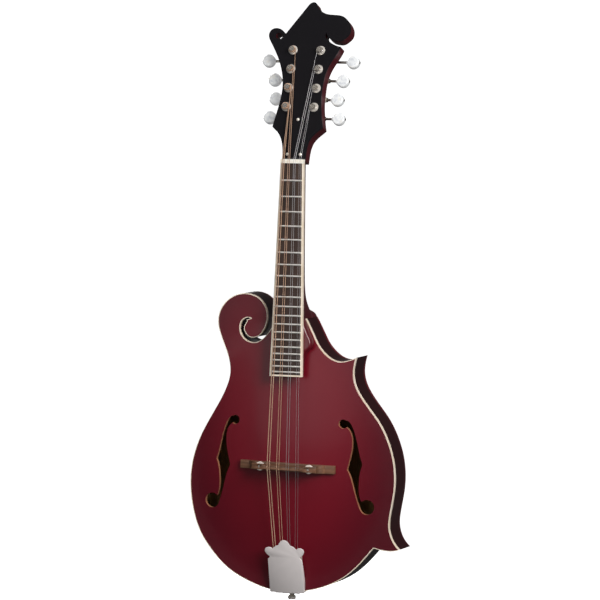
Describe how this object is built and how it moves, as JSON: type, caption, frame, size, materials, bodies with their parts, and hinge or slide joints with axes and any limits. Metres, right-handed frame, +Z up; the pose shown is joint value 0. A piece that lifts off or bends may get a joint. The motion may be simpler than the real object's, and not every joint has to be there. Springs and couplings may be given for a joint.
{
  "type": "mandolin",
  "caption": "Mandolin with scrolled body, two points, carved red top with f-shaped sound holes, floating adjustable bridge, covered tailpiece and geared tuners.",
  "frame": {"origin": "centre of the strap button's head, on its axis, at the tail end of the body", "axes": "+Z up the neck, +Y towards the back, +X towards the treble side"},
  "size_m": [0.2573, 0.1067, 0.6966],
  "materials": {
    "top_lacquer": "deep wine-red gloss lacquer",
    "side_lacquer": "dark wine-red gloss lacquer",
    "cream_edging": "cream, polished",
    "bare_wood": "bare, sanded",
    "black_face": "black satin lacquer",
    "steel": "plain steel",
    "brass_nut": "turned",
    "nickel": "polished nickel",
    "bone": "polished bone colour",
    "rosewood": "dark oiled",
    "fret_wire": "polished nickel silver",
    "pearl": "grey-white pearl",
    "satin_nickel": "satin nickel",
    "bronze_wound": "wound bronze",
    "plain_steel": "plain steel"
  },
  "bodies": {
    "instrument": {"top_plate": "top_lacquer", "board_riser": "top_lacquer", "back_plate": "side_lacquer", "rib_bass": "side_lacquer", "rib_treble": "side_lacquer", "neck": "side_lacquer", "top_binding": "cream_edging", "fretboard_binding": "cream_edging", "neck_block": "bare_wood", "tail_block": "bare_wood", "point_blocks": "bare_wood", "top_lining": "bare_wood", "back_lining": "bare_wood", "tone_bars": "bare_wood", "headstock_overlay": "black_face", "truss_rod_cover": "black_face", "truss_rod": "steel", "headstock_screws": "nickel", "tuner_bushings": "nickel", "tuner_plate_bass": "nickel", "tuner_plate_treble": "nickel", "bridge_studs": "nickel", "tailpiece_base": "nickel", "tailpiece_screws": "nickel", "strap_button": "nickel", "nut": "bone", "fretboard": "rosewood", "bridge_base": "rosewood", "frets": "fret_wire", "wound_strings": "bronze_wound", "plain_strings": "plain_steel"},
    "saddle": {"bridge_saddle": "rosewood"},
    "wheel_bass": {"thumbwheel_bass": "nickel"},
    "wheel_treble": {"thumbwheel_treble": "nickel"},
    "tail_cover": {"tailpiece_cover": "satin_nickel"},
    "rod_nut": {"truss_rod_nut": "brass_nut"},
    "tuner_knob_1": {"button_1": "pearl", "worm_shaft_1": "nickel"},
    "tuner_post_1": {"string_post_1": "nickel"},
    "tuner_knob_2": {"button_2": "pearl", "worm_shaft_2": "nickel"},
    "tuner_post_2": {"string_post_2": "nickel"},
    "tuner_knob_3": {"button_3": "pearl", "worm_shaft_3": "nickel"},
    "tuner_post_3": {"string_post_3": "nickel"},
    "tuner_knob_4": {"button_4": "pearl", "worm_shaft_4": "nickel"},
    "tuner_post_4": {"string_post_4": "nickel"},
    "tuner_knob_5": {"button_5": "pearl", "worm_shaft_5": "nickel"},
    "tuner_post_5": {"string_post_5": "nickel"},
    "tuner_knob_6": {"button_6": "pearl", "worm_shaft_6": "nickel"},
    "tuner_post_6": {"string_post_6": "nickel"},
    "tuner_knob_7": {"button_7": "pearl", "worm_shaft_7": "nickel"},
    "tuner_post_7": {"string_post_7": "nickel"},
    "tuner_knob_8": {"button_8": "pearl", "worm_shaft_8": "nickel"},
    "tuner_post_8": {"string_post_8": "nickel"}
  },
  "joints": [
    {"name": "tuner_knob_1_turn", "type": "hinge", "parent": "instrument", "child": "tuner_knob_1", "pos_m": [-0.0169, 0.02123, 0.5587], "axis": [1, 0, 0], "continuous": true},
    {"name": "tuner_post_1_turn", "type": "hinge", "parent": "instrument", "child": "tuner_post_1", "pos_m": [-0.0169, 0.00314, 0.57248], "axis": [0, 0.9449, -0.3272], "continuous": true},
    {"name": "tuner_knob_2_turn", "type": "hinge", "parent": "instrument", "child": "tuner_knob_2", "pos_m": [-0.0169, 0.02882, 0.58062], "axis": [1, 0, 0], "continuous": true},
    {"name": "tuner_post_2_turn", "type": "hinge", "parent": "instrument", "child": "tuner_post_2", "pos_m": [-0.0169, 0.01073, 0.5944], "axis": [0, 0.9449, -0.3272], "continuous": true},
    {"name": "tuner_knob_3_turn", "type": "hinge", "parent": "instrument", "child": "tuner_knob_3", "pos_m": [-0.0169, 0.03641, 0.60254], "axis": [1, 0, 0], "continuous": true},
    {"name": "tuner_post_3_turn", "type": "hinge", "parent": "instrument", "child": "tuner_post_3", "pos_m": [-0.0169, 0.01833, 0.61632], "axis": [0, 0.9449, -0.3272], "continuous": true},
    {"name": "tuner_knob_4_turn", "type": "hinge", "parent": "instrument", "child": "tuner_knob_4", "pos_m": [-0.0169, 0.044, 0.62447], "axis": [1, 0, 0], "continuous": true},
    {"name": "tuner_post_4_turn", "type": "hinge", "parent": "instrument", "child": "tuner_post_4", "pos_m": [-0.0169, 0.02592, 0.63824], "axis": [0, 0.9449, -0.3272], "continuous": true},
    {"name": "tuner_knob_5_turn", "type": "hinge", "parent": "instrument", "child": "tuner_knob_5", "pos_m": [0.0169, 0.02123, 0.5587], "axis": [1, 0, 0], "continuous": true},
    {"name": "tuner_post_5_turn", "type": "hinge", "parent": "instrument", "child": "tuner_post_5", "pos_m": [0.0169, 0.00314, 0.57248], "axis": [0, 0.9449, -0.3272], "continuous": true},
    {"name": "tuner_knob_6_turn", "type": "hinge", "parent": "instrument", "child": "tuner_knob_6", "pos_m": [0.0169, 0.02882, 0.58062], "axis": [1, 0, 0], "continuous": true},
    {"name": "tuner_post_6_turn", "type": "hinge", "parent": "instrument", "child": "tuner_post_6", "pos_m": [0.0169, 0.01073, 0.5944], "axis": [0, 0.9449, -0.3272], "continuous": true},
    {"name": "tuner_knob_7_turn", "type": "hinge", "parent": "instrument", "child": "tuner_knob_7", "pos_m": [0.0169, 0.03641, 0.60254], "axis": [1, 0, 0], "continuous": true},
    {"name": "tuner_post_7_turn", "type": "hinge", "parent": "instrument", "child": "tuner_post_7", "pos_m": [0.0169, 0.01833, 0.61632], "axis": [0, 0.9449, -0.3272], "continuous": true},
    {"name": "tuner_knob_8_turn", "type": "hinge", "parent": "instrument", "child": "tuner_knob_8", "pos_m": [0.0169, 0.044, 0.62447], "axis": [1, 0, 0], "continuous": true},
    {"name": "tuner_post_8_turn", "type": "hinge", "parent": "instrument", "child": "tuner_post_8", "pos_m": [0.0169, 0.02592, 0.63824], "axis": [0, 0.9449, -0.3272], "continuous": true},
    {"name": "saddle_lift", "type": "slide", "parent": "instrument", "child": "saddle", "axis": [0, -1, 0], "range_m": [-0.0008, 0.002], "deforming": ["wound_strings", "plain_strings"]},
    {"name": "thumbwheel_bass_turn", "type": "hinge", "parent": "saddle", "child": "wheel_bass", "pos_m": [-0.02869, -0.03775, 0.15598], "axis": [0, -1, 0], "range_deg": [-415, 1032]},
    {"name": "thumbwheel_treble_turn", "type": "hinge", "parent": "saddle", "child": "wheel_treble", "pos_m": [0.03069, -0.03775, 0.15453], "axis": [0, -1, 0], "range_deg": [-415, 1032]},
    {"name": "tailpiece_cover_slide", "type": "slide", "parent": "instrument", "child": "tail_cover", "axis": [0, 0, -1], "range_m": [0, 0.06]},
    {"name": "truss_rod_nut_turn", "type": "hinge", "parent": "instrument", "child": "rod_nut", "pos_m": [0, -0.01126, 0.51618], "axis": [0, 0.0506, 0.9987], "range_deg": [-180, 180]}
  ],
  "couplings": [
    {"joint": "tuner_post_1_turn", "follows": "tuner_knob_1_turn", "ratio": 0.071429},
    {"joint": "tuner_post_2_turn", "follows": "tuner_knob_2_turn", "ratio": 0.071429},
    {"joint": "tuner_post_3_turn", "follows": "tuner_knob_3_turn", "ratio": 0.071429},
    {"joint": "tuner_post_4_turn", "follows": "tuner_knob_4_turn", "ratio": 0.071429},
    {"joint": "tuner_post_5_turn", "follows": "tuner_knob_5_turn", "ratio": 0.071429},
    {"joint": "tuner_post_6_turn", "follows": "tuner_knob_6_turn", "ratio": 0.071429},
    {"joint": "tuner_post_7_turn", "follows": "tuner_knob_7_turn", "ratio": 0.071429},
    {"joint": "tuner_post_8_turn", "follows": "tuner_knob_8_turn", "ratio": 0.071429},
    {"joint": "thumbwheel_bass_turn", "follows": "saddle_lift", "rad_per_m": 8976},
    {"joint": "thumbwheel_treble_turn", "follows": "saddle_lift", "rad_per_m": 8976}
  ]
}
